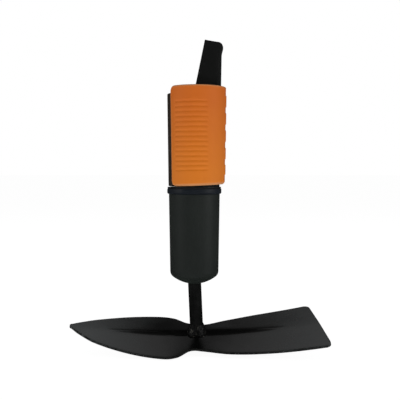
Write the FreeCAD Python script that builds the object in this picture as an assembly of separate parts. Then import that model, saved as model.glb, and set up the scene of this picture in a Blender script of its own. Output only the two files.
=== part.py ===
import FreeCAD
import Part
import math
import os

# Double-edged hand hoe head: a pointed wing and a broad wing on one pressed blade, a welded round
# shank, a moulded ferrule, and a quick-release socket that takes a round handle tube.
# Millimetres. +Z runs up the handle, +X towards the broad wing, and -Y is the blade's low side.
# The origin is on the socket's axis, in the plane where the end of the handle tube stops.

Vector = FreeCAD.Vector
UP = Vector(0, 0, 1)
ALONG_X = Vector(1, 0, 0)
ALONG_Y = Vector(0, 1, 0)

# Handle socket: a 40 mm tube slides between the spigot and the grip sleeve.
TUBE_R = 20.0
TUBE_WALL = 1.2
SOCKET_GAP = 0.2
SPIGOT_R = TUBE_R - TUBE_WALL - SOCKET_GAP
SPIGOT_TOP = 28.0
SOCKET_R = TUBE_R + SOCKET_GAP

# Heights of the joints between the moulded parts.
SLEEVE_TOP = 30.0
SLEEVE_BOTTOM = -44.2
RING_TOP = -45.4
RING_BOTTOM = -49.8
FLANGE_TOP = -44.6
FERRULE_RIM = -110.7
DOME_DEPTH = 7.4

# Ferrule and core below the socket stand a little off the socket's axis.
FERRULE_X = -1.5
FERRULE_TOP_R = 19.25
FERRULE_RIM_R = 18.3
FERRULE_WALL = 2.9
PLUG_R = FERRULE_RIM_R - FERRULE_WALL
PLUG_TUBE_R = 9.0
PLUG_RIB = 2.4
RING_R = 20.5
FLANGE_R = 20.2
RING_SEAT_R = 16.6
NECK_R = 17.5

# Pocket that lightens the core on the side away from the release channel.
POCKET_X = (5.5, 15.0)
POCKET_HALF = 8.0
POCKET_Z = (-40.0, -8.0)

# Grip sleeve.
SLEEVE_TOP_R = 22.4
SLEEVE_BOTTOM_R = 21.5
SLEEVE_LOWER_BORE = 17.6
SLEEVE_LIP = 2.2
SLEEVE_SLANT = 2.3
SLOT_HALF = 11.4
SLOT_CORNER = 4.5
RIB_COUNT = 15
RIB_PITCH = 3.73
RIB_TOP = 17.3
RIB_DEPTH = 0.45
RIB_FROM = 63.0
RIB_TO = 125.0
PAD_COUNT = 5
PAD_PITCH = 13.0
PAD_RISE = 0.45

# Latch lever: a prong with a nose above the pivot, a release arm below it.
LATCH_HALF = 9.3
THUMB_HALF = 10.7
CHANNEL_HALF = 9.7
WELL_HALF = 11.2
SHOULDER_X = -15.5
SHOULDER_Z = -8.0
PIVOT_X = 4.0
PIVOT_Z = 10.0
PIVOT_PIN_R = 2.0
PIVOT_PLAY = 0.05
PRONG_TOP = 64.2
PRONG_SLANT = math.radians(11.7)
PRONG_INNER_X = -0.1
PRONG_ROOT_GAP = 0.9
PRONG_CORE_X = 14.5
CORE_HALF = 6.9
NOSE_Z = 59.8
NOSE_RISE = 1.6
PAD_INNER_R = 20.5
PAD_SUNK = 0.5
PAD_TOP = 25.1
PAD_BOTTOM = -43.9
PLATE_BOTTOM = -44.1
PLATE_R = 20.1
HEEL_Z = 0.3
ARM_HALF = 2.6

# Return spring between the release arm and the floor of the core's channel.
SPRING_Z = -30.0
SPRING_R = 3.6
SPRING_WIRE = 0.45
SPRING_TURNS = 6
SPRING_SEAT = 2.0
CHANNEL_FLOOR_X = 2.0
THROAT_X = 9.9
ARM_BACK_X = -16.5

# Shank and its cross pin.
SHANK_R = 5.0
SHANK_LEAN = math.radians(2.5)
SHANK_TOP = -66.0
CROSS_PIN_R = 1.75
CROSS_PIN_Z = -82.0
WELD_HEIGHT = 6.6
FOOT = Vector(0.4, 0.0, -157.4)

# Blade: one pressed sheet, tilted so that its near edge hangs low.
BLADE_T = 2.0
BLADE_TILT = 17.2
BLADE_RISE = 0.8
ARCH_R = 535.0
ROOF_SLOPE = math.tan(math.radians(4.5))
ROOF_FADE = 90.0
CREST_SOFT = 4.0
RIB_RISE = 2.4
RIB_NEAR = 3.8
RIB_FAR = 9.0
RIB_CREST = 1.4
LEFT_RIB = 68.0
RIGHT_RIB = 68.0
BOSS_RISE = 2.6
BOSS_HALF_X = 8.5
BOSS_HALF_Y = 15.0


def point(x, y, z):
    return Vector(x, y, z)


def turned(profile, x):
    """Solid of revolution about the upright line through (x, 0), from (radius, height) pairs."""
    corners = [point(x + r, 0, z) for r, z in profile]
    corners.append(corners[0])
    face = Part.Face(Part.makePolygon(corners))
    return face.revolve(point(x, 0, 0), UP, 360)


def cylinder(radius, low, high, x=0.0):
    return Part.makeCylinder(radius, high - low, point(x, 0, low), UP)


def block(x0, x1, y0, y1, z0, z1):
    return Part.makeBox(x1 - x0, y1 - y0, z1 - z0, point(x0, y0, z0))


def save(shape, node):
    shape.exportStep("parts/" + node + ".step")
    print(node, len(shape.Solids), "solid(s)", round(shape.Volume), "mm3", shape.isValid())


def largest(shape):
    return max(shape.Solids, key=lambda solid: solid.Volume)


def rounded(shape, radius, wanted):
    """Fillets the edges for which wanted(edge) is true."""
    edges = [e for e in shape.Edges if wanted(e)]
    return shape.makeFillet(radius, edges)


def is_circle_at(edge, radius, height):
    if edge.Degenerated or not isinstance(edge.Curve, Part.Circle):
        return False
    curve = edge.Curve
    return abs(curve.Radius - radius) < 0.05 and abs(curve.Center.z - height) < 0.05


# ---- blade -------------------------------------------------------------------------------------

def blade_height(u, v):
    """Height of the sheet's upper face: end-to-end arch, roof fold, two ribs and a centre boss."""
    fold = math.exp(-(u / ROOF_FADE) ** 2)
    height = u * u / (2 * ARCH_R)
    height -= ROOF_SLOPE * fold * (math.hypot(v, CREST_SOFT) - CREST_SOFT)
    height += rib_height(u, v)
    foot = math.hypot(u / BOSS_HALF_X, (v + 4.0) / BOSS_HALF_Y)
    if foot < 1:
        height += BOSS_RISE * math.cos(math.pi * foot / 2) ** 2
    return height


def rib_height(u, v):
    """A rib along each wing: steep on its near side, easy on its far side, dying out to a point."""
    reach = RIGHT_RIB if u > 0 else LEFT_RIB
    along = max(0.0, 1.0 - abs(u) / reach)
    offset = v - RIB_CREST
    half = (RIB_FAR if offset > 0 else RIB_NEAR) * (0.3 + 0.7 * along)
    if abs(offset) >= half:
        return 0.0
    return RIB_RISE * min(1.0, 1.5 * along) * math.cos(math.pi * offset / (2 * half)) ** 2


def blade_outline():
    """Plan of the blade in its own plane: x along the wings, y towards the raised edge."""
    tip_far = point(-95.0, 4.5, 0)
    tip_near = point(-95.6, -0.4, 0)
    far_leaf = [tip_far, point(-77, 16.0, 0), point(-53, 25.8, 0), point(-31, 29.8, 0)]
    far_waist = [point(-31, 29.8, 0), point(-18, 27.6, 0), point(-8, 19.8, 0), point(4, 16.2, 0)]
    far_wing = [point(4, 16.2, 0), point(24, 23.0, 0), point(50, 28.4, 0), point(83.6, 31.2, 0)]
    near_wing = [point(93.5, -30.4, 0), point(57, -27.9, 0), point(24, -24.0, 0), point(4, -19.2, 0)]
    near_waist = [point(4, -19.2, 0), point(-5, -18.8, 0), point(-14, -26.4, 0), point(-24, -28.8, 0)]
    near_leaf = [point(-24, -28.8, 0), point(-50, -24.6, 0), point(-76, -15.2, 0),
                 point(-88, -6.8, 0), tip_near]
    far_corner = [point(83.6, 31.2, 0), point(87.7, 30.4, 0), point(89.9, 26.6, 0)]
    near_corner = [point(96.7, -25.0, 0), point(96.5, -29.2, 0), point(93.5, -30.4, 0)]
    tip = [tip_near, point(-96.8, 2.4, 0), tip_far]
    edges = []
    for stretch in (far_leaf, far_waist, far_wing):
        edges.append(smooth(stretch))
    edges.append(smooth(far_corner))
    edges.append(Part.makeLine(far_corner[-1], near_corner[0]))
    edges.append(smooth(near_corner))
    for stretch in (near_wing, near_waist, near_leaf):
        edges.append(smooth(stretch))
    edges.append(smooth(tip))
    return Part.Wire(edges)


def smooth(points):
    curve = Part.BSplineCurve()
    curve.interpolate(points)
    return curve.toShape()


def make_blade():
    rows = []
    for i in range(-31, 32):
        u = 3.6 * i
        row = []
        for j in range(-18, 19):
            share = j / 18
            v = 42.0 * share * (0.4 + 0.6 * share * share)
            row.append(point(u, v, blade_height(u, v)))
        rows.append(row)
    surface = Part.BSplineSurface()
    surface.interpolate(rows)
    sheet = surface.toShape().extrude(point(0, 0, -BLADE_T))
    plan = blade_outline()
    plan.translate(point(0, 0, -40))
    prism = Part.Face(plan).extrude(point(0, 0, 90))
    blade = sheet.common(prism).Solids[0]
    return placed_on_foot(blade)


def placed_on_foot(shape):
    shape = shape.copy()
    shape.rotate(point(0, 0, 0), ALONG_X, BLADE_TILT)
    shape.rotate(point(0, 0, 0), ALONG_Y, -BLADE_RISE)
    shape.translate(FOOT)
    return shape


# ---- shank, weld and cross pin -------------------------------------------------------------------

def shank_axis():
    """Direction up the shank, which leans as it goes down towards the broad wing."""
    return point(-math.sin(SHANK_LEAN), 0, math.cos(SHANK_LEAN))


def shank_point(height):
    return point((FOOT.z - height) * math.tan(SHANK_LEAN) + FOOT.x, 0, height)


def shank_blank():
    start = shank_point(FOOT.z - 3)
    length = (SHANK_TOP - FOOT.z + 3) / math.cos(SHANK_LEAN)
    return Part.makeCylinder(SHANK_R, length, start, shank_axis())


def make_shank(blade):
    rod = shank_blank()
    rod = rod.makeChamfer(0.8, [e for e in rod.Edges if e.CenterOfMass.z > SHANK_TOP - 1.0])
    rod = largest(rod.cut(blade))
    return rod.cut(cross_pin_cutter())


def cross_pin_cutter():
    centre = shank_point(CROSS_PIN_Z)
    return Part.makeCylinder(CROSS_PIN_R, 2 * PLUG_R - 5, centre - ALONG_Y * (PLUG_R - 2.5), ALONG_Y)


def make_shank_pin():
    centre = shank_point(CROSS_PIN_Z)
    half = PLUG_R - 2.5
    pin = Part.makeCylinder(CROSS_PIN_R, 2 * half, centre - ALONG_Y * half, ALONG_Y)
    hollow = Part.makeCylinder(CROSS_PIN_R - 0.6, 2 * half, centre - ALONG_Y * half, ALONG_Y)
    slit = block(-0.35, 0.35, -half, half, 0, CROSS_PIN_R + 1)
    slit.translate(point(centre.x, 0, centre.z))
    return pin.cut(hollow).cut(slit)


def make_weld(blade, shank):
    base = shank_point(FOOT.z - 2)
    lower = Part.makeCone(SHANK_R + 3.4, SHANK_R + 0.4, WELD_HEIGHT + 2.0, base, shank_axis())
    rod = Part.makeCylinder(SHANK_R, 40, shank_point(FOOT.z - 10), shank_axis())
    return largest(lower.cut(blade).cut(rod))


# ---- ferrule and stop ring -----------------------------------------------------------------------

def make_ferrule(shank_hole):
    dome_r = (FERRULE_RIM_R ** 2 + DOME_DEPTH ** 2) / (2 * DOME_DEPTH)
    dome_centre = FERRULE_RIM - DOME_DEPTH + dome_r
    body = Part.makeCone(FERRULE_RIM_R, FERRULE_TOP_R, RING_BOTTOM - FERRULE_RIM,
                         point(FERRULE_X, 0, FERRULE_RIM), UP)
    cap = Part.makeSphere(dome_r, point(FERRULE_X, 0, dome_centre))
    cap = cap.common(cylinder(FERRULE_RIM_R, FERRULE_RIM - DOME_DEPTH - 1, FERRULE_RIM, FERRULE_X))
    shell = body.fuse(cap).removeSplitter()
    shell = rounded(shell, 3.2, lambda e: is_circle_at(e, FERRULE_RIM_R, FERRULE_RIM))
    shell = rounded(shell, 0.5, lambda e: is_circle_at(e, FERRULE_TOP_R, RING_BOTTOM))
    bore = cylinder(PLUG_R, FERRULE_RIM + 1.0, RING_BOTTOM + 1, FERRULE_X)
    return shell.cut(bore).cut(shank_hole)


def make_stop_ring():
    ring = cylinder(RING_R, RING_BOTTOM, RING_TOP, FERRULE_X)
    ring = rounded(ring, 1.3, lambda e: is_circle_at(e, RING_R, e.CenterOfMass.z))
    return ring.cut(cylinder(RING_SEAT_R, RING_BOTTOM - 1, RING_TOP + 1, FERRULE_X))


# ---- coupling core -------------------------------------------------------------------------------

def make_core(shank_hole):
    plug = ribbed_plug()
    seat = cylinder(RING_SEAT_R, RING_BOTTOM, RING_TOP, FERRULE_X)
    flange = cylinder(FLANGE_R, RING_TOP, FLANGE_TOP, FERRULE_X)
    neck = cylinder(NECK_R, FLANGE_TOP, SLEEVE_BOTTOM)
    body = cylinder(SLEEVE_LOWER_BORE, SLEEVE_BOTTOM, SHOULDER_Z)
    shoulder = cylinder(SOCKET_R, SHOULDER_Z, 0.0)
    spigot = cylinder(SPIGOT_R, 0.0, SPIGOT_TOP)
    spigot = spigot.makeChamfer(1.0, [e for e in spigot.Edges if is_circle_at(e, SPIGOT_R, SPIGOT_TOP)])
    core = plug
    for piece in (seat, flange, neck, body, shoulder, spigot):
        core = core.fuse(piece)
    core = core.removeSplitter()
    core = core.cut(release_channel()).cut(prong_channel())
    core = core.cut(block(*POCKET_X, -POCKET_HALF, POCKET_HALF, *POCKET_Z))
    core = core.cut(spring_seat()).cut(shank_hole).cut(cross_pin_cutter())
    return core.cut(pivot_cylinder(PIVOT_PIN_R)).Solids[0]


def ribbed_plug():
    """Tube round the shank with six ribs that fill the ferrule, closed by a disc at the top."""
    low = FERRULE_RIM + 1.0
    plug = cylinder(PLUG_TUBE_R, low, RING_BOTTOM, FERRULE_X)
    for i in range(6):
        rib = block(0, PLUG_R + 1, -PLUG_RIB / 2, PLUG_RIB / 2, low, RING_BOTTOM)
        rib.rotate(point(0, 0, 0), UP, 60 * i + 30)
        rib.translate(point(FERRULE_X, 0, 0))
        plug = plug.fuse(rib)
    plug = plug.common(cylinder(PLUG_R, low, RING_BOTTOM, FERRULE_X))
    for level in (low, CROSS_PIN_Z - 4.0, RING_BOTTOM - 3.0):
        plug = plug.fuse(cylinder(PLUG_R, level, level + 3.0, FERRULE_X))
    start = shank_point(CROSS_PIN_Z) - ALONG_Y * PLUG_R
    boss = Part.makeCylinder(CROSS_PIN_R + 2.2, 2 * PLUG_R, start, ALONG_Y)
    return plug.fuse(boss.common(cylinder(PLUG_R, low, RING_BOTTOM, FERRULE_X)))


def release_channel():
    """Opening towards -X, below the tube stop, where the release arm swings inside the flange's rim."""
    opening = block(-30, CHANNEL_FLOOR_X, -CHANNEL_HALF, CHANNEL_HALF, FLANGE_TOP, 0.0)
    well = block(-30, CHANNEL_FLOOR_X, -WELL_HALF, WELL_HALF, RING_TOP, FLANGE_TOP)
    relief = block(-30, SHOULDER_X, -WELL_HALF, WELL_HALF, SHOULDER_Z - 0.5, 0.0)
    return opening.fuse(relief).fuse(well.common(cylinder(PLATE_R + 0.3, RING_TOP, FLANGE_TOP)))


def prong_channel():
    """Space through the spigot for the lever's hub and prong, open to +X above the tube stop."""
    slot = block(-13.0, 30, -CHANNEL_HALF, CHANNEL_HALF, 0.0, SPIGOT_TOP + 1)
    throat = block(-13.0, THROAT_X, -CHANNEL_HALF, CHANNEL_HALF, -8.0, 0.0)
    return slot.fuse(throat)


def spring_seat():
    start = point(CHANNEL_FLOOR_X - 1, 0, SPRING_Z)
    return Part.makeCylinder(SPRING_R + 0.8, SPRING_SEAT + 1, start, ALONG_X)


def pivot_cylinder(radius, half=SPIGOT_R + 2):
    return Part.makeCylinder(radius, 2 * half, point(PIVOT_X, -half, PIVOT_Z), ALONG_Y)


def make_pivot_pin():
    half = 17.3
    pin = pivot_cylinder(PIVOT_PIN_R, half)
    return pin.makeChamfer(0.4, [e for e in pin.Edges if abs(abs(e.CenterOfMass.y) - half) < 0.01])


# ---- grip sleeve ---------------------------------------------------------------------------------

def make_sleeve():
    outer = turned(sleeve_profile(), 0)
    for pad in grip_pads():
        outer = outer.fuse(pad)
    for groove in grip_grooves():
        outer = outer.cut(groove)
    outer = outer.cut(cylinder(SOCKET_R, SHOULDER_Z, SLEEVE_TOP + 1))
    outer = outer.cut(cylinder(SLEEVE_LOWER_BORE, SLEEVE_BOTTOM - 1, SHOULDER_Z + 0.1))
    return outer.cut(sleeve_slot()).cut(sleeve_underside()).Solids[0]


def sleeve_profile():
    """Outside of the grip: rounded top edge, slight draft, and a lip that draws in at the bottom."""
    lip_top = SLEEVE_BOTTOM + SLEEVE_LIP
    edge = 0.9
    profile = [(0, SLEEVE_BOTTOM), (SLEEVE_LOWER_BORE + 0.9, SLEEVE_BOTTOM)]
    profile += [(SLEEVE_BOTTOM_R - 0.9, lip_top - 1.1), (SLEEVE_BOTTOM_R - 0.3, lip_top - 0.5)]
    profile += [(sleeve_radius(lip_top + 0.3), lip_top + 0.3), (SLEEVE_TOP_R, SLEEVE_TOP - edge)]
    profile += [(SLEEVE_TOP_R - 0.3 * edge, SLEEVE_TOP - 0.3 * edge), (SLEEVE_TOP_R - edge, SLEEVE_TOP)]
    profile.append((0, SLEEVE_TOP))
    return profile


def sleeve_underside():
    """The lower edge climbs a little towards the side away from the slot."""
    under = block(-60, 60, -40, 40, -20, 0)
    under.rotate(point(0, 0, 0), ALONG_Y, -SLEEVE_SLANT)
    under.translate(point(-SLEEVE_BOTTOM_R, 0, SLEEVE_BOTTOM))
    return under


def sleeve_slot():
    slot = block(-30, -8, -SLOT_HALF, SLOT_HALF, SLEEVE_BOTTOM - 5, SLEEVE_TOP + 5)
    low = block(-30, -8, -SLOT_HALF - SLOT_CORNER, SLOT_HALF + SLOT_CORNER, SLEEVE_BOTTOM - 5,
                SLEEVE_BOTTOM + SLOT_CORNER)
    high = block(-30, -8, -SLOT_HALF - SLOT_CORNER, SLOT_HALF + SLOT_CORNER, SLEEVE_TOP - SLOT_CORNER,
                 SLEEVE_TOP + 5)
    for side in (-1, 1):
        y = side * (SLOT_HALF + SLOT_CORNER)
        low_centre = point(-40, y, SLEEVE_BOTTOM + SLOT_CORNER)
        high_centre = point(-40, y, SLEEVE_TOP - SLOT_CORNER)
        low = low.cut(Part.makeCylinder(SLOT_CORNER, 40, low_centre, ALONG_X))
        high = high.cut(Part.makeCylinder(SLOT_CORNER, 40, high_centre, ALONG_X))
    return slot.fuse(low).fuse(high)


def sleeve_radius(z):
    share = (z - SLEEVE_BOTTOM) / (SLEEVE_TOP - SLEEVE_BOTTOM)
    return SLEEVE_BOTTOM_R + share * (SLEEVE_TOP_R - SLEEVE_BOTTOM_R)


def grip_grooves():
    """Shallow finger grooves, front and back, each a slice of a ring."""
    grooves = []
    for side in (-1, 1):
        for i in range(RIB_COUNT):
            z = RIB_TOP - RIB_PITCH * i
            r = sleeve_radius(z)
            ring = turned([(r - RIB_DEPTH, z - 0.35), (r + 0.6, z - 1.1), (r + 0.6, z + 1.1),
                           (r - RIB_DEPTH, z + 0.35)], 0)
            grooves.append(ring.common(wedge(side * RIB_FROM, side * RIB_TO)))
    return grooves


def wedge(start, stop):
    """Upright sector between two angles from +X."""
    low, high = sorted((start, stop))
    reach = 40.0
    corners = [point(0, 0, -60)]
    for i in range(7):
        angle = math.radians(low + (high - low) * i / 6)
        corners.append(point(reach * math.cos(angle), reach * math.sin(angle), -60))
    corners.append(corners[0])
    return Part.Face(Part.makePolygon(corners)).extrude(point(0, 0, 120))


def grip_pads():
    """Raised plain pads in a column on the side away from the slot."""
    pads = []
    for i in range(PAD_COUNT):
        z = 19.5 - PAD_PITCH * i
        r = sleeve_radius(z) + PAD_RISE
        pad = block(0, 30, -6.5, 6.5, z - 4.6, z + 4.6)
        pad = rounded(pad, 2.0, lambda e: abs(e.tangentAt(e.FirstParameter).x) > 0.9)
        pads.append(pad.common(cylinder(r, z - 10, z + 10)))
    return pads


# ---- latch lever, thumb pad and spring -------------------------------------------------------------

def make_lever():
    lever = prong().fuse(hub()).fuse(release_arm())
    return lever.removeSplitter().cut(pivot_cylinder(PIVOT_PIN_R + PIVOT_PLAY)).Solids[0]


def prong():
    """Tapered prong: flat slanted back, round face that follows the tube's bore, hooked nose."""
    foot_z = -4.0
    back = PRONG_INNER_X
    rise = PRONG_TOP - 33.0
    top_x = back + rise * math.tan(PRONG_SLANT)
    foot_x = back - (33.0 - foot_z) * math.tan(PRONG_SLANT)
    profile = [
        point(foot_x, 0, foot_z), point(top_x, 0, PRONG_TOP), point(15.0, 0, PRONG_TOP - 1.5),
        point(30.0, 0, PRONG_TOP - 3.5), point(30.0, 0, HEEL_Z), point(9.1, 0, HEEL_Z),
        point(8.6, 0, foot_z),
    ]
    profile.append(profile[0])
    blank = Part.Face(Part.makePolygon(profile))
    blank.translate(point(0, -LATCH_HALF, 0))
    blank = blank.extrude(point(0, 2 * LATCH_HALF, 0))
    nose = NOSE_Z
    root_r = SPIGOT_R - PRONG_ROOT_GAP
    face = turned([
        (0, -10), (root_r, -10), (root_r, SPIGOT_TOP - 1.5), (SPIGOT_R + 0.1, SPIGOT_TOP + 1.5),
        (SPIGOT_R + 0.5, nose - 6.0), (SPIGOT_R + 0.8, nose - 4.2), (SPIGOT_R + NOSE_RISE, nose - 1.2),
        (SPIGOT_R + NOSE_RISE, nose + 0.6), (SPIGOT_R + 0.8, nose + 2.6), (SPIGOT_R - 2.2, nose + 3.8),
        (15.5, PRONG_TOP + 2), (0, PRONG_TOP + 2),
    ], 0)
    body = blank.common(face)
    for low, high in ((20.0, 31.0), (33.0, 44.0), (46.0, 57.0)):
        body = body.cut(block(-20, PRONG_CORE_X, -CORE_HALF, CORE_HALF, low, high))
    return body


def hub():
    barrel = Part.makeCylinder(6.5, 2 * LATCH_HALF, point(PIVOT_X, -LATCH_HALF, PIVOT_Z), ALONG_Y)
    return barrel.common(cylinder(SPIGOT_R - PRONG_ROOT_GAP, -20, 40))


def release_arm():
    """Web from the hub down through the core's throat to the release plate."""
    profile = [point(-8.0, 0, 6.0), point(9.0, 0, 6.0), point(8.5, 0, -2.0), point(-2.0, 0, -9.0),
               point(ARM_BACK_X, 0, -14.0), point(ARM_BACK_X, 0, PAD_BOTTOM + 2),
               point(-21.5, 0, PAD_BOTTOM + 2),
               point(-21.5, 0, -1.4), point(-12.0, 0, -1.4)]
    profile.append(profile[0])
    web = Part.Face(Part.makePolygon(profile))
    web.translate(point(0, -ARM_HALF, 0))
    web = web.extrude(point(0, 2 * ARM_HALF, 0))
    plate = turned([(17.0, PLATE_BOTTOM), (PLATE_R, PLATE_BOTTOM), (PLATE_R, PAD_BOTTOM),
                    (PAD_INNER_R, PAD_BOTTOM), (PAD_INNER_R, -1.4), (17.0, -1.4)], 0)
    plate = plate.common(block(-30, -5, -LATCH_HALF + 0.3, LATCH_HALF - 0.3, -60, 30))
    stud = Part.makeCylinder(SPRING_R - SPRING_WIRE - 0.75, 4.0, point(-18, 0, SPRING_Z), ALONG_X)
    arm = web.fuse(plate).fuse(stud)
    return arm.common(cylinder(PAD_INNER_R, -60, 40))


def make_thumb_pad():
    """Curved cover strip on the release plate, flush with the grip sleeve."""
    top_r = sleeve_radius(PAD_TOP) - PAD_SUNK
    low_r = sleeve_radius(PAD_BOTTOM) - PAD_SUNK
    strip = turned([(PAD_INNER_R, PAD_BOTTOM), (low_r, PAD_BOTTOM), (top_r, PAD_TOP),
                    (PAD_INNER_R, PAD_TOP)], 0)
    strip = strip.common(block(-30, -5, -THUMB_HALF, THUMB_HALF, -60, 40))
    return strip.Solids[0]


def make_spring():
    """Closed coil between the release plate and the floor of the channel."""
    start = ARM_BACK_X
    length = CHANNEL_FLOOR_X + SPRING_SEAT - start - 2 * SPRING_WIRE
    coil = Part.makeHelix(length / SPRING_TURNS, length, SPRING_R)
    coil.rotate(point(0, 0, 0), ALONG_Y, 90)
    coil.translate(point(start + SPRING_WIRE, 0, SPRING_Z))
    first = coil.Edges[0]
    at = first.valueAt(first.FirstParameter)
    heading = first.tangentAt(first.FirstParameter)
    ring = Part.Wire(Part.makeCircle(SPRING_WIRE, at, heading))
    return Part.Wire(coil.Edges).makePipeShell([ring], True, True)


blade = make_blade()
shank = make_shank(blade)
shank_hole = shank_blank()

save(blade, "blade")
save(shank, "shank")
save(make_weld(blade, shank), "weld_bead")
save(make_shank_pin(), "shank_pin")
save(make_ferrule(shank_hole), "ferrule")
save(make_stop_ring(), "stop_ring")
save(make_core(shank_hole), "coupling_core")
save(make_sleeve(), "grip_sleeve")
save(make_lever(), "latch_lever")
save(make_thumb_pad(), "thumb_pad")
save(make_pivot_pin(), "pivot_pin")
save(make_spring(), "latch_spring")
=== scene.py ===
import math

import bpy
from mathutils import Matrix, Vector


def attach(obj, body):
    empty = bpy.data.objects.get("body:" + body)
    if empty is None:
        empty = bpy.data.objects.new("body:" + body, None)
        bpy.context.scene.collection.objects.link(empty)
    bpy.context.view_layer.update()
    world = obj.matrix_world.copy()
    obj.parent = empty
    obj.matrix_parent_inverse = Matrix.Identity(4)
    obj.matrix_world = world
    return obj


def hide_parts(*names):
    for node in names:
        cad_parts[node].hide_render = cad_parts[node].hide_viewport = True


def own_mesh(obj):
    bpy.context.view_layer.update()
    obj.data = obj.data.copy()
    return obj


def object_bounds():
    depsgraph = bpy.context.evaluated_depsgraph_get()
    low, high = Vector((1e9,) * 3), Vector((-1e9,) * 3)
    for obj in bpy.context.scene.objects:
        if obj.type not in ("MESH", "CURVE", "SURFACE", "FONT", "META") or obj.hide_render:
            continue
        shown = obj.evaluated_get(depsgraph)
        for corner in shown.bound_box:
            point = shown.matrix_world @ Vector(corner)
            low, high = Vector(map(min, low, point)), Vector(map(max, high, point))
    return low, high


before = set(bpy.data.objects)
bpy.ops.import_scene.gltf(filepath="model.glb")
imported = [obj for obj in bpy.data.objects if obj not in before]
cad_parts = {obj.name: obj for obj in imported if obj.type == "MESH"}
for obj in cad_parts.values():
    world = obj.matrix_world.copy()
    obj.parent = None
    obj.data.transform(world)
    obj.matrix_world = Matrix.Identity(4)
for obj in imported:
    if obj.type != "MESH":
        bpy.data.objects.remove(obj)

cad_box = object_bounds()
mm = 0.001
bpy.ops.object.select_all(action="DESELECT")


# ---- Blade ------------------------------------------------------------------------------------
# One pressed steel sheet, 2 mm thick: a leaf-shaped wing and a broad flared wing either side of a
# narrow waist. A rib is pressed up along each wing, and a boss under the shank. It is dipped in
# black paint. Shade is painted into its colour and reflection in the folds beside the ribs, along
# the rounded edge and round the foot, and its reflection is turned down on the far half of the
# leaf; a painted sheen lightens it towards the ends and in a patch beside the shank.

foot = Vector((0.4, 0.0, -157.4)) * mm
sheet_thick = 2.0 * mm
blade_tilt = math.radians(17.2)
blade_rise = math.radians(0.8)
arch_radius = 535.0 * mm
roof_slope = math.tan(math.radians(4.5))
tip_x = -96.8 * mm
end_x = 93.5 * mm
end_slant = -0.134
edge_round = 0.55 * mm
tip_y, tip_round, corner_round = 2.0 * mm, 1.8 * mm, 4.5 * mm
fold_length, fold_round = 90 * mm, 4.0 * mm
rib_y, rib_rise, rib_length, rib_far, rib_near = 1.4 * mm, 2.4 * mm, 68 * mm, 9.0 * mm, 3.8 * mm
boss_y, boss_rise, boss_half_x, boss_half_y = -4.0 * mm, 2.6 * mm, 8.5 * mm, 15 * mm
far_edge = [(-96.8, 2.8), (-91.5, 7.0), (-77.0, 16.0), (-53.0, 25.8), (-31.0, 29.8), (-18.0, 27.6),
            (-8.0, 19.8), (4.0, 16.2), (24.0, 23.0), (50.0, 28.4), (93.5, 31.4)]
near_edge = [(-96.8, 1.2), (-88.0, -6.8), (-76.0, -15.2), (-50.0, -24.6), (-24.0, -28.8), (-14.0, -26.4),
             (-5.0, -18.8), (4.0, -19.2), (24.0, -24.0), (57.0, -27.9), (93.5, -30.4)]


def edge_at(points, x):
    """Smooth curve through an edge's points, read at x (both in millimetres)."""
    i = 0
    while i < len(points) - 2 and x > points[i + 1][0]:
        i += 1
    (x0, y0), (x1, y1) = points[i], points[i + 1]
    before = points[max(i - 1, 0)]
    after = points[min(i + 2, len(points) - 1)]
    slope0 = (y1 - before[1]) / (x1 - before[0])
    slope1 = (after[1] - y0) / (after[0] - x0)
    span = x1 - x0
    s = (x - x0) / span
    value = (2 * s ** 3 - 3 * s ** 2 + 1) * y0 + (s ** 3 - 2 * s ** 2 + s) * span * slope0
    return value + (3 * s ** 2 - 2 * s ** 3) * y1 + (s ** 3 - s ** 2) * span * slope1


def corner_cut(distance, radius):
    """How far a rounded corner draws an edge in, at a distance from the corner's end."""
    if distance >= radius:
        return 0.0
    return radius - math.sqrt(max(0.0, radius ** 2 - (radius - max(0.0, distance)) ** 2))


def press_height(x, y):
    """Height of the pressed sheet over its plane: arch, roof fold, two ribs and the boss."""
    fold = math.exp(-(x / fold_length) ** 2)
    height = x * x / (2 * arch_radius) - roof_slope * fold * (math.hypot(y, fold_round) - fold_round)
    along = max(0.0, 1.0 - abs(x) / rib_length)
    offset = y - rib_y
    half = (rib_far if offset > 0 else rib_near) * (0.3 + 0.7 * along)
    if abs(offset) < half:
        height += rib_rise * min(1.0, 1.5 * along) * math.cos(math.pi * offset / (2 * half)) ** 2
    reach = math.hypot(x / boss_half_x, (y - boss_y) / boss_half_y)
    if reach < 1:
        height += boss_rise * math.cos(math.pi * reach / 2) ** 2
    return height


def crowd(value, amount):
    """Spreads even steps over -1 to 1 so that they crowd towards both ends."""
    return math.sin(math.pi / 2 * amount * value) / math.sin(math.pi / 2 * amount)


def store(piece, name, values):
    """Keeps one number for each vertex, for the piece's material to read."""
    piece.data.attributes.new(name, "FLOAT", "POINT").data.foreach_set("value", values)


def merge_close(distance):
    """Joins the vertices of the active object that lie within a distance of each other."""
    bpy.ops.object.mode_set(mode="EDIT")
    bpy.ops.mesh.select_all(action="SELECT")
    bpy.ops.mesh.remove_doubles(threshold=distance)
    bpy.ops.object.mode_set(mode="OBJECT")


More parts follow.
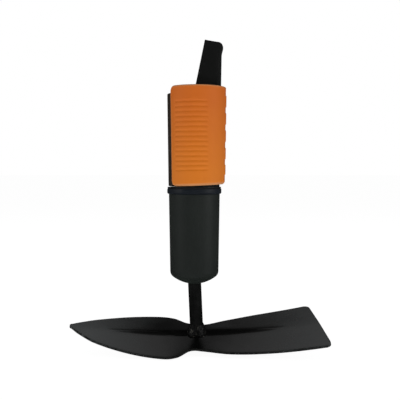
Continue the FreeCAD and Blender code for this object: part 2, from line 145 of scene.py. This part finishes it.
bpy.ops.mesh.primitive_grid_add(x_subdivisions=260, y_subdivisions=72, size=2)
blade = bpy.context.object
blade.name = "pressed_blade"
edge_shade, painted_light_level, sheen, forged = [], [], [], []
for vertex in blade.data.vertices:
    station = (tip_x + end_x) / 2 + (end_x - tip_x) / 2 * crowd(vertex.co.x, 0.9)
    across = (crowd(vertex.co.y, 0.85) + 1) / 2
    far = edge_at(far_edge, station / mm) * mm
    near = edge_at(near_edge, station / mm) * mm
    if station < tip_x + tip_round:
        blunt = math.sqrt(max(0.0, 1.0 - (1.0 - (station - tip_x) / tip_round) ** 2))
        shoulder = (tip_x + tip_round) / mm
        far = tip_y + blunt * (edge_at(far_edge, shoulder) * mm - tip_y)
        near = tip_y + blunt * (edge_at(near_edge, shoulder) * mm - tip_y)
    cut = corner_cut(end_x - station, corner_round)
    y = near + cut + (far - near - 2 * cut) * across
    inset = min(far - y, y - near, end_x - station)
    # Painted shade along the rounded edge: nearer the edge the colour is darker and the reflection
    # weaker.
    edge_shade.append(math.exp(-max(0.0, inset) / (0.8 * mm)))
    # Painted light: colour and reflection are kept low near the foot, a painted shade under the shank
    # and ferrule, and rise towards the ends, a painted sheen.
    foot_shade_length = (60 if station < 0 else 88) * mm
    from_foot = math.hypot(station / foot_shade_length, (y + 2 * mm) / (60 * mm))
    painted_light_level.append(0.75 * min(1.5, max(0.0, from_foot - 0.15)))
    # Painted shade: in the fold beside each rib the colour is darkened and the reflection turned down;
    # on the far half of the leaf near the waist the reflection is turned down.
    beside_rib = min(1.0, 2 * max(0.0, 1 - abs(station) / (70 * mm)))
    creased = beside_rib * math.exp(-((y - 3.0 * mm) / (4.0 * mm)) ** 2)
    hollow = math.exp(-((station + 28 * mm) / (26 * mm)) ** 2) * min(1.0, max(0.0, y / (8 * mm)))
    painted_light_level[-1] *= 1 - 0.8 * creased
    sheen.append(min(1.0, 0.35 + 2.3 * painted_light_level[-1]) * (1 - max(creased, 0.8 * hollow, 0.6 * edge_shade[-1])))
    # Painted sheen: a lighter patch of colour on the far half of the right wing beside the shank.
    by_shank = math.exp(-((station - 18 * mm) / (12 * mm)) ** 2 - ((y - 14 * mm) / (6 * mm)) ** 2)
    painted_light_level[-1] += 0.33 * by_shank
    forged.append(min(1.0, 0.75 + (station - tip_x) / (24 * mm)))
    ramp = min(1.0, max(0.0, (station - 30 * mm) / (60 * mm)))
    x = station + end_slant * y * ramp
    vertex.co = (x, y, press_height(x, y))
store(blade, "edge_shade", edge_shade)
store(blade, "painted_light_level", painted_light_level)
store(blade, "sheen", sheen)
gauge = blade.vertex_groups.new(name="gauge")
for index, share in enumerate(forged):
    gauge.add([index], share, "REPLACE")

merge_close(0.005 * mm)
thickness = blade.modifiers.new("sheet", "SOLIDIFY")
thickness.thickness = sheet_thick
thickness.offset = -1
thickness.vertex_group = "gauge"
bpy.ops.object.modifier_apply(modifier="sheet")
ground = blade.modifiers.new("ground_edge", "BEVEL")
ground.width = edge_round
ground.segments = 3
ground.limit_method = "ANGLE"
ground.angle_limit = math.radians(50)
bpy.ops.object.modifier_apply(modifier="ground_edge")
bpy.ops.object.shade_smooth_by_angle(angle=math.radians(35))
blade.data.transform(Matrix.Rotation(blade_tilt, 4, "X"))
blade.data.transform(Matrix.Rotation(-blade_rise, 4, "Y"))
blade.data.transform(Matrix.Translation(foot))


def new_material(name, colour, roughness, metallic=0.0, shine=0.5):
    """A Principled material, with its node tree and the shader node to build on."""
    material = bpy.data.materials.new(name)
    material.use_nodes = True
    tree = material.node_tree
    shader = tree.nodes["Principled BSDF"]
    shader.inputs["Base Color"].default_value = (*colour, 1)
    shader.inputs["Roughness"].default_value = roughness
    shader.inputs["Metallic"].default_value = metallic
    shader.inputs["Specular IOR Level"].default_value = shine
    return material, tree, shader


def add_noise(tree, size, detail=3.0):
    """Noise with features of a given size in metres, on Object coordinates."""
    where = tree.nodes.new("ShaderNodeTexCoord")
    noise = tree.nodes.new("ShaderNodeTexNoise")
    noise.inputs["Scale"].default_value = 1 / size
    noise.inputs["Detail"].default_value = detail
    tree.links.new(where.outputs["Object"], noise.inputs["Vector"])
    return noise


def add_grain(tree, shader, size, depth):
    """Fine relief on the surface: bumps of a given size and depth in metres."""
    noise = add_noise(tree, size)
    bump = tree.nodes.new("ShaderNodeBump")
    bump.inputs["Strength"].default_value = 1.0
    bump.inputs["Distance"].default_value = depth
    tree.links.new(noise.outputs[0], bump.inputs["Height"])
    tree.links.new(bump.outputs["Normal"], shader.inputs["Normal"])


def add_ramp(tree, source, low, high, start, stop):
    """Turns a value between start and stop into a colour between low and high."""
    ramp = tree.nodes.new("ShaderNodeValToRGB")
    first, last = ramp.color_ramp.elements
    first.position, last.position = start, stop
    first.color, last.color = (*low, 1), (*high, 1)
    tree.links.new(source, ramp.inputs[0])
    return ramp.outputs[0]


def read_value(tree, name):
    """The number kept for each vertex under a name."""
    node = tree.nodes.new("ShaderNodeAttribute")
    node.attribute_name = name
    return node.outputs["Fac"]


def add_math(tree, operation, first, second):
    """A math node with its first input joined to a value, and its second to a value or a number."""
    node = tree.nodes.new("ShaderNodeMath")
    node.operation = operation
    tree.links.new(first, node.inputs[0])
    if isinstance(second, float):
        node.inputs[1].default_value = second
    else:
        tree.links.new(second, node.inputs[1])
    return node


def add_mix(tree, share, colour, other):
    """Blends a linked colour towards a plain one by a linked share."""
    node = tree.nodes.new("ShaderNodeMix")
    node.data_type = "RGBA"
    tree.links.new(share, node.inputs[0])
    tree.links.new(colour, node.inputs[6])
    node.inputs[7].default_value = (*other, 1)
    return node.outputs[2]


def grey(value):
    return (value, value, value)


paint, tree, shader = new_material("black_paint", grey(0.005), 0.32)
add_grain(tree, shader, 0.7 * mm, 0.012 * mm)
patches = add_noise(tree, 9 * mm).outputs[0]
tree.links.new(add_ramp(tree, patches, grey(0.21), grey(0.27), 0.3, 0.7), shader.inputs["Roughness"])
# Reflection strength follows the painted light: stronger towards the ends, turned down in the folds, on
# the far half of the leaf and along the edge.
gloss = add_ramp(tree, read_value(tree, "sheen"), grey(0.0), grey(0.5), 0.0, 1.0)
tree.links.new(gloss, shader.inputs["Specular IOR Level"])
# Base colour: random patches plus the painted light, darker near the foot and in the folds, lighter
# towards the ends and beside the shank.
patches_and_painted_light = add_math(tree, "MULTIPLY_ADD", patches, 0.2)
tree.links.new(read_value(tree, "painted_light_level"), patches_and_painted_light.inputs[2])
film_with_painted_light = add_ramp(tree, patches_and_painted_light.outputs[0], (0.003, 0.0031, 0.003), (0.072, 0.0790, 0.0805), 0.4, 1.08)
# Painted shade along the edge, broken up by noise: the colour is blended towards a darker grey.
patchy_edge_shade = add_math(tree, "MULTIPLY", read_value(tree, "edge_shade"), add_noise(tree, 3 * mm).outputs[0])
painted_edge_share = add_ramp(tree, patchy_edge_shade.outputs[0], grey(0.0), grey(1.0), 0.2, 0.6)
tree.links.new(add_mix(tree, painted_edge_share, film_with_painted_light, (0.012, 0.0122, 0.012)), shader.inputs["Base Color"])
blade.data.materials.append(paint)
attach(blade, "head")
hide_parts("blade")


# ---- Shank ------------------------------------------------------------------------------------
# Round steel bar, 10 mm across. It stands on the blade's boss and runs up inside the ferrule. It has
# the same black paint as the blade, dull and a little uneven.

def soften(node, width, angle=40):
    """Joins the faces of a piece, then rounds its sharp edges slightly."""
    join = node.modifiers.new("join", "WELD")
    join.merge_threshold = 0.002 * mm
    edges = node.modifiers.new("soft_edges", "BEVEL")
    edges.width = width
    edges.segments = 2
    edges.limit_method = "ANGLE"
    edges.angle_limit = math.radians(angle)
    edges.harden_normals = True
    for face in node.data.polygons:
        face.use_smooth = True


def repaint(node, material):
    node.data.materials.clear()
    node.data.materials.append(material)


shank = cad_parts["shank"]
bar_paint, tree, shader = new_material("bar_paint", grey(0.005), 0.45, shine=0.08)
add_grain(tree, shader, 1.1 * mm, 0.02 * mm)
patches = add_noise(tree, 6 * mm).outputs[0]
tree.links.new(add_ramp(tree, patches, (0.0050, 0.0053, 0.0050), (0.0090, 0.0093, 0.0090), 0.35, 0.65),
               shader.inputs["Base Color"])
repaint(shank, bar_paint)
soften(shank, 0.25 * mm)


# ---- Weld bead --------------------------------------------------------------------------------
# Hand-laid fillet of weld round the foot of the shank: wide where it lies on the boss, narrow where
# it climbs the bar, with overlapping ripples. Painted over; paler spots on its lumps are painted
# glints, and the paint is smoother there.

weld_top = 8.4 * mm
shank_lean = math.radians(2.5)
start_r, tube_r = 6 * mm, 1.5 * mm
bpy.ops.mesh.primitive_torus_add(
    major_segments=168, minor_segments=36, major_radius=start_r, minor_radius=tube_r
)
bead = bpy.context.object
bead.name = "weld_fillet"
for vertex in bead.data.vertices:
    turn = math.atan2(vertex.co.y, vertex.co.x)
    out = (math.hypot(vertex.co.x, vertex.co.y) - start_r) / tube_r
    up = min(1.0, max(-1.0, vertex.co.z / tube_r))
    ripple = 0.07 * math.sin(4 * turn + 2.6 * up) + 0.06 * math.sin(7 * turn - 4.4 * up + 1.0)
    ripple += 0.07 * math.sin(2 * turn + 5.0 * up + 2.0)
    width = (1.0 + 2.9 * ((1 - up) / 2) ** 1.3) * (1 + ripple)
    radius = (4.7 + max(0.0, out + 0.3) / 1.3 * width) * mm
    x, y = radius * math.cos(turn), radius * math.sin(turn)
    base = press_height(x, y) + y * math.tan(blade_tilt) - 0.9 * mm
    climb = (up + 1) / 2
    crown = weld_top + (0.5 * math.sin(3 * turn + 0.6) + 0.3 * math.sin(8 * turn)) * mm
    vertex.co = (x - climb * weld_top * math.tan(shank_lean), y, base + climb * (crown - base))
bead.data.transform(Matrix.Translation(foot))
bpy.ops.object.shade_smooth()

weld_paint, tree, shader = new_material("weld_paint", grey(0.004), 0.3, shine=0.25)
add_grain(tree, shader, 1.6 * mm, 0.8 * mm)
# Painted glints: paler spots in the base colour, where the paint is also smoother.
glint_spots = add_noise(tree, 2.2 * mm).outputs[0]
tree.links.new(add_ramp(tree, glint_spots, (0.003, 0.0031, 0.003), (0.09, 0.088, 0.075), 0.56, 0.74),
               shader.inputs["Base Color"])
tree.links.new(add_ramp(tree, glint_spots, grey(0.40), grey(0.22), 0.45, 0.7), shader.inputs["Roughness"])
bead.data.materials.append(weld_paint)
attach(bead, "head")
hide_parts("weld_bead")


# ---- Shank pin --------------------------------------------------------------------------------
# Rolled spring pin driven across the shank inside the ferrule's plug. It is bare spring steel and
# isn't seen once the ferrule is on.

shank_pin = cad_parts["shank_pin"]
pin_steel, tree, shader = new_material("pin_steel", (0.42, 0.43, 0.45), 0.34, metallic=1.0)
add_grain(tree, shader, 0.4 * mm, 0.01 * mm)
repaint(shank_pin, pin_steel)
soften(shank_pin, 0.1 * mm)


# ---- Ferrule ----------------------------------------------------------------------------------
# Moulded black cup: a slightly tapered wall, a rounded rim, and a shallow dome underneath with the
# hole for the shank. The mould left a fine texture all over it.

ferrule_x = -1.5
rim_z = -110.7
rim_r = 18.3
dome_depth = 7.3
dome_r = (rim_r ** 2 + dome_depth ** 2) / (2 * dome_depth)
dome_z = rim_z - dome_depth + dome_r


def lathe(name, profile, axis_x):
    """Closed turned piece: a closed profile of (radius, height) points in mm, up the outside first."""
    bpy.ops.mesh.primitive_grid_add(x_subdivisions=144, y_subdivisions=len(profile) - 1, size=2)
    piece = bpy.context.object
    piece.name = name
    for vertex in piece.data.vertices:
        turn = math.pi * (vertex.co.x + 1)
        place = (vertex.co.y + 1) / 2 * (len(profile) - 1)
        i = min(int(place + 1e-4), len(profile) - 2)
        share = place - i
        radius = profile[i][0] + share * (profile[i + 1][0] - profile[i][0])
        height = profile[i][1] + share * (profile[i + 1][1] - profile[i][1])
        x, y = axis_x + radius * math.cos(turn), radius * math.sin(turn)
        vertex.co = (x * mm, y * mm, height * mm)
    merge_close(0.002 * mm)
    bpy.ops.object.shade_smooth_by_angle(angle=math.radians(40))
    return piece


profile = []
for i in range(15):
    radius = 4.6 + (16.4 - 4.6) * i / 14
    profile.append((radius, dome_z - math.sqrt(dome_r ** 2 - radius ** 2)))
start = profile[-1]
for i in range(1, 9):
    s = i / 8
    radius = (1 - s) ** 2 * start[0] + 2 * s * (1 - s) * 18.2 + s ** 2 * 18.33
    height = (1 - s) ** 2 * start[1] + 2 * s * (1 - s) * -111.0 + s ** 2 * -108.3
    profile.append((radius, height))
for i in range(1, 13):
    profile.append((18.33 + 0.89 * i / 12, -108.3 + 58.0 * i / 12))
profile += [(19.2, -50.05), (19.05, -49.86), (18.7, -49.8), (16.0, -49.8), (15.5, -50.6), (15.5, -80.0)]
profile += [(15.5, -110.2), (10.0, -110.2), (4.6, -110.2), profile[0]]
ferrule = lathe("ferrule_cup", profile, ferrule_x)

cup_plastic, tree, shader = new_material("cup_plastic", grey(0.014), 0.5, shine=0.35)
add_grain(tree, shader, 0.5 * mm, 0.05 * mm)
patches = add_noise(tree, 14 * mm).outputs[0]
tree.links.new(add_ramp(tree, patches, (0.0145, 0.0185, 0.0165), (0.0180, 0.0225, 0.0200), 0.3, 0.7),
               shader.inputs["Base Color"])
ferrule.data.materials.append(cup_plastic)
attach(ferrule, "head")
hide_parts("ferrule")


# ---- Stop ring --------------------------------------------------------------------------------
# Smooth rounded ring between the ferrule and the coupling, a little proud of both. Its blue-black
# surface is smoother than the mouldings beside it.

profile = []
for i in range(49):
    turn = -math.pi + 2 * math.pi * i / 48
    side, rise = math.cos(turn), math.sin(turn)
    radius = 18.55 + math.copysign(abs(side) ** 0.5, side) * 1.95
    profile.append((radius, -47.6 + math.copysign(abs(rise) ** 0.5, rise) * 2.2))
ring = lathe("stop_ring_moulded", profile, ferrule_x)

ring_rubber, tree, shader = new_material("ring_rubber", (0.009, 0.013, 0.019), 0.42, shine=0.4)
add_grain(tree, shader, 2.0 * mm, 0.02 * mm)
tree.links.new(add_ramp(tree, add_noise(tree, 12 * mm).outputs[0], grey(0.36), grey(0.5), 0.3, 0.7),
               shader.inputs["Roughness"])
ring.data.materials.append(ring_rubber)
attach(ring, "head")
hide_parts("stop_ring")


# ---- Coupling core ----------------------------------------------------------------------------
# The black moulding that carries everything: ribbed plug in the ferrule, flange and neck above the
# ring, and the spigot that goes inside the handle tube, slotted for the latch lever.

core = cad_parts["coupling_core"]
core_plastic, tree, shader = new_material("core_plastic", grey(0.013), 0.45, shine=0.35)
add_grain(tree, shader, 0.6 * mm, 0.04 * mm)
patches = add_noise(tree, 10 * mm).outputs[0]
tree.links.new(add_ramp(tree, patches, (0.011, 0.012, 0.012), (0.0155, 0.0165, 0.0165), 0.3, 0.7),
               shader.inputs["Base Color"])
repaint(core, core_plastic)
soften(core, 0.25 * mm)


# ---- Grip sleeve ------------------------------------------------------------------------------
# Orange moulded sleeve round the coupling: split by a slot with rounded corners, shallow finger
# grooves front and back, and a column of raised plain pads on the side away from the slot. Its edges
# are rounded, with a paler painted highlight along them, and its lower lip draws in and climbs a
# little away from the slot. Painted light from below makes its colour lighter and yellower towards
# the bottom.

sleeve_low, sleeve_high = -44.2 * mm, 30.0 * mm
sleeve_wall = 2.1 * mm
slot_half = 11.4 * mm
slot_corner = 4.5 * mm
lip, lip_slant = 2.2 * mm, math.radians(2.3)
groove_count, groove_pitch, groove_top = 15, 3.58 * mm, 18.2 * mm
groove_depth, groove_half = 0.27 * mm, 1.35 * mm
groove_from, groove_to = 66.0, 135.5
pad_count, pad_pitch, pad_top, pad_rise = 5, 13.0 * mm, 19.5 * mm, 0.45 * mm


def grip_radius(z):
    return 21.5 * mm + 0.9 * mm * (z - sleeve_low) / (sleeve_high - sleeve_low)


def smooth_step(value):
    value = min(1.0, max(0.0, value))
    return value * value * (3 - 2 * value)


def groove_at(degrees, z):
    """Depth of the finger grooves; they fade out at both ends."""
    i = round((groove_top - z) / groove_pitch)
    offset = abs(groove_top - i * groove_pitch - z)
    if i < 0 or i >= groove_count or offset > groove_half:
        return 0.0
    fade = smooth_step((degrees - groove_from) / 2.5) * smooth_step((groove_to - degrees) / 3.0)
    return groove_depth * fade * math.cos(math.pi * offset / (2 * groove_half)) ** 2


def pad_at(y, z):
    """Rise of the raised pads: rectangles with rounded corners and soft sides."""
    i = min(pad_count - 1, max(0, round((pad_top - z) / pad_pitch)))
    over_y = max(0.0, abs(y) - 4.5 * mm)
    over_z = max(0.0, abs(z - pad_top + i * pad_pitch) - 2.6 * mm)
    return pad_rise * smooth_step((2.0 * mm - math.hypot(over_y, over_z)) / (0.8 * mm))


bpy.ops.mesh.primitive_grid_add(x_subdivisions=184, y_subdivisions=216, size=2)
sleeve = bpy.context.object
sleeve.name = "moulded_grip"
edge_highlight, lit_from_below = [], []
for vertex in sleeve.data.vertices:
    share = (crowd(vertex.co.y, 0.8) + 1) / 2
    z = sleeve_low + (sleeve_high - sleeve_low) * share
    radius = grip_radius(z)
    gap = slot_half + corner_cut(z - sleeve_low, slot_corner) + corner_cut(sleeve_high - z, slot_corner)
    turn = crowd(vertex.co.x, 0.8) * (math.pi - math.asin(gap / radius))
    to_slot = radius * (math.pi - math.asin(gap / radius) - abs(turn))
    radius += pad_at(radius * math.sin(turn) if math.cos(turn) > 0 else 1.0, z)
    radius -= groove_at(math.degrees(abs(turn)), z)
    edge = corner_cut(min(to_slot, sleeve_high - z), 0.6 * mm)
    to_edge = min(to_slot, sleeve_high - z, z - sleeve_low - 0.6 * mm)
    # Painted highlight along the edges, fading over about a millimetre.
    edge_highlight.append(math.exp(-max(0.0, to_edge) / (1.2 * mm)))
    # Painted light from below: rises towards the bottom of the sleeve.
    lit_from_below.append(1 - share)
    foot_edge = 1.5 * mm * max(0.0, 1 - (z - sleeve_low) / lip) ** 2
    radius -= max(edge, foot_edge)
    x = radius * math.cos(turn)
    climb = (x + 21.5 * mm) * math.tan(lip_slant) * (1 - smooth_step(share / 0.3))
    vertex.co = (x, radius * math.sin(turn), z + climb)
store(sleeve, "edge_highlight", edge_highlight)
store(sleeve, "lit_from_below", lit_from_below)
wall = sleeve.modifiers.new("wall", "SOLIDIFY")
wall.thickness = sleeve_wall
wall.offset = -1
bpy.ops.object.modifier_apply(modifier="wall")
bpy.ops.object.shade_smooth_by_angle(angle=math.radians(55))

grip_plastic, tree, shader = new_material("grip_plastic", (0.72, 0.16, 0.014), 0.5, shine=0.25)
add_grain(tree, shader, 0.45 * mm, 0.03 * mm)
# Painted light from below: the colour is lighter and yellower towards the bottom, with a random cloudy
# tone on top.
cloud_and_underlight = add_math(tree, "MULTIPLY_ADD", add_noise(tree, 11 * mm).outputs[0], 0.3)
tree.links.new(read_value(tree, "lit_from_below"), cloud_and_underlight.inputs[2])
grip_colour_lit_below = add_ramp(tree, cloud_and_underlight.outputs[0], (0.67, 0.150, 0.0135), (0.76, 0.205, 0.0135), 0.25, 1.0)
# Painted highlight: the colour is blended towards a pale beige along the edges.
painted_edge_share = add_ramp(tree, read_value(tree, "edge_highlight"), grey(0.0), grey(0.9), 0.25, 0.8)
tree.links.new(add_mix(tree, painted_edge_share, grip_colour_lit_below, (0.58, 0.27, 0.11)), shader.inputs["Base Color"])
sleeve.data.materials.append(grip_plastic)
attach(sleeve, "head")
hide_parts("grip_sleeve")


# ---- Latch lever ------------------------------------------------------------------------------
# One black moulding that rocks on the pivot pin: a tapered prong with a hooked nose above, and the
# release arm below. Satin, with slightly rounded edges.

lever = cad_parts["latch_lever"]
latch_plastic, tree, shader = new_material("latch_plastic", grey(0.007), 0.4, shine=0.35)
add_grain(tree, shader, 0.8 * mm, 0.03 * mm)
patches = add_noise(tree, 12 * mm).outputs[0]
tree.links.new(add_ramp(tree, patches, (0.0060, 0.0064, 0.0061), (0.0085, 0.0090, 0.0086), 0.3, 0.7),
               shader.inputs["Base Color"])
repaint(lever, latch_plastic)
soften(lever, 0.35 * mm)


# ---- Thumb pad --------------------------------------------------------------------------------
# Soft dark strip on the release arm. It lies in the sleeve's slot, sunk just below the grip, and is
# pressed to free the handle.

pad_low, pad_high = -43.9 * mm, 25.1 * mm
pad_half, pad_sunk = 10.7 * mm, 0.5 * mm
bpy.ops.mesh.primitive_grid_add(x_subdivisions=44, y_subdivisions=140, size=2)
pad = bpy.context.object
pad.name = "thumb_strip"
for vertex in pad.data.vertices:
    z = (pad_low + pad_high) / 2 + (pad_high - pad_low) / 2 * crowd(vertex.co.y, 0.9)
    y = -pad_half * crowd(vertex.co.x, 0.9)
    to_edge = min(pad_half - abs(y), pad_high - z, z - pad_low)
    radius = grip_radius(z) - pad_sunk - corner_cut(to_edge, 0.6 * mm)
    vertex.co = (-math.sqrt(radius ** 2 - y ** 2), y, z)
backing = pad.modifiers.new("backing", "SOLIDIFY")
backing.thickness = 0.6 * mm
backing.offset = -1
bpy.ops.object.modifier_apply(modifier="backing")
bpy.ops.object.shade_smooth_by_angle(angle=math.radians(50))

pad_rubber, tree, shader = new_material("pad_rubber", (0.025, 0.019, 0.014), 0.6, shine=0.3)
add_grain(tree, shader, 0.4 * mm, 0.04 * mm)
patches = add_noise(tree, 8 * mm).outputs[0]
tree.links.new(add_ramp(tree, patches, (0.026, 0.0185, 0.0120), (0.038, 0.0270, 0.0175), 0.3, 0.7),
               shader.inputs["Base Color"])
pad.data.materials.append(pad_rubber)
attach(pad, "latch")
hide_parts("thumb_pad")


# ---- Pivot pin --------------------------------------------------------------------------------
# Ground steel pin pressed through both cheeks of the spigot; the latch lever turns on it.

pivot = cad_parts["pivot_pin"]
pivot_steel, tree, shader = new_material("pivot_steel", (0.5, 0.51, 0.53), 0.28, metallic=1.0)
add_grain(tree, shader, 0.3 * mm, 0.008 * mm)
repaint(pivot, pivot_steel)
soften(pivot, 0.1 * mm)


# ---- Latch spring -----------------------------------------------------------------------------
# Compression spring of 0.9 mm bare wire, six turns, between the release arm and the floor of the
# coupling's channel. Its last turns lie close together.

spring_start, spring_end = -16.5 * mm, 4.0 * mm
coil_radius, wire_radius, turns = 3.85 * mm, 0.45 * mm, 6
coil_length = spring_end - spring_start - 2 * wire_radius
dead_end = 0.09
bpy.ops.mesh.primitive_grid_add(x_subdivisions=288, y_subdivisions=14, size=2)
spring = bpy.context.object
spring.name = "return_spring"
for vertex in spring.data.vertices:
    share = (vertex.co.x + 1) / 2
    turn = 2 * math.pi * turns * share
    round_wire = math.pi * vertex.co.y
    spread = min(1.0, max(0.0, (share - dead_end) / (1 - 2 * dead_end)))
    axial = spring_start + wire_radius + coil_length * (0.06 * share + 0.94 * spread)
    radius = coil_radius + wire_radius * math.cos(round_wire)
    vertex.co = (axial + wire_radius * math.sin(round_wire), radius * math.cos(turn),
                 -30 * mm + radius * math.sin(turn))
bpy.ops.object.mode_set(mode="EDIT")
bpy.ops.mesh.select_all(action="SELECT")
bpy.ops.mesh.remove_doubles(threshold=0.002 * mm)
bpy.ops.mesh.fill_holes(sides=0)
bpy.ops.mesh.normals_make_consistent(inside=False)
bpy.ops.object.mode_set(mode="OBJECT")
bpy.ops.object.shade_smooth_by_angle(angle=math.radians(60))

spring_steel, tree, shader = new_material("spring_steel", (0.42, 0.43, 0.45), 0.33, metallic=1.0)
add_grain(tree, shader, 0.5 * mm, 0.01 * mm)
spring.data.materials.append(spring_steel)
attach(spring, "head")
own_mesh(spring)
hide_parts("latch_spring")


# ---- Floor, light and camera --------------------------------------------------------------------
# Plain pale floor and room, a wide soft light high behind, one on each side and a low one in front.

bpy.ops.mesh.primitive_plane_add(size=60.0, location=(0, 0, cad_box[0][2] - 0.0005))
floor = bpy.context.object
floor.name = "floor"
floor_paint, tree, shader = new_material("pale_floor", (0.35, 0.35, 0.35), 0.9, shine=0.0)
shader.inputs["Emission Color"].default_value = (1, 1, 1, 1)
shader.inputs["Emission Strength"].default_value = 0.95
floor.data.materials.append(floor_paint)
floor.visible_glossy = False

world = bpy.data.worlds.new("studio")
bpy.context.scene.world = world
world.use_nodes = True
tree = world.node_tree
room = tree.nodes["Background"]
direction = tree.nodes.new("ShaderNodeTexCoord")
split = tree.nodes.new("ShaderNodeSeparateXYZ")
tree.links.new(direction.outputs["Generated"], split.inputs[0])
sky = add_ramp(tree, split.outputs["Z"], grey(0.04), grey(0.20), 0.5, 1.0)
tree.links.new(sky, room.inputs["Color"])
white = tree.nodes.new("ShaderNodeBackground")
white.inputs["Color"].default_value = (1, 1, 1, 1)
white.inputs["Strength"].default_value = 1.0
path = tree.nodes.new("ShaderNodeLightPath")
mix = tree.nodes.new("ShaderNodeMixShader")
tree.links.new(path.outputs["Is Camera Ray"], mix.inputs["Fac"])
tree.links.new(room.outputs["Background"], mix.inputs[1])
tree.links.new(white.outputs["Background"], mix.inputs[2])
tree.links.new(mix.outputs["Shader"], tree.nodes["World Output"].inputs["Surface"])


def softbox(name, place, target, size, power):
    bpy.ops.object.light_add(type="AREA", location=place)
    lamp = bpy.context.object
    lamp.name = name
    lamp.data.shape = "RECTANGLE"
    lamp.data.size, lamp.data.size_y = size
    lamp.data.energy = power
    lamp.rotation_euler = (Vector(target) - Vector(place)).to_track_quat("-Z", "Y").to_euler()


softbox("behind_above", (0.0, 0.78, 1.05), (0, 0, -0.15), (2.4, 0.6), 1.22)
softbox("left", (-1.3, -0.5, 0.25), (0, 0, -0.05), (0.8, 1.2), 2.1)
softbox("right", (1.3, -0.5, 0.25), (0, 0, -0.05), (0.8, 1.2), 3.4)
softbox("front", (0.1, -0.8, -0.06), (0, 0, -0.02), (0.8, 0.2), 1.25)
bpy.context.object.visible_glossy = False

bpy.context.scene.view_settings.view_transform = "Standard"
camera_place = Vector((0.0028, -0.520, -0.0334))
bpy.ops.object.camera_add(location=camera_place, rotation=(math.radians(90 - 2.33), 0, 0))
camera = bpy.context.object
camera.data.sensor_width = 36
camera.data.lens = 61.8
bpy.context.scene.camera = camera
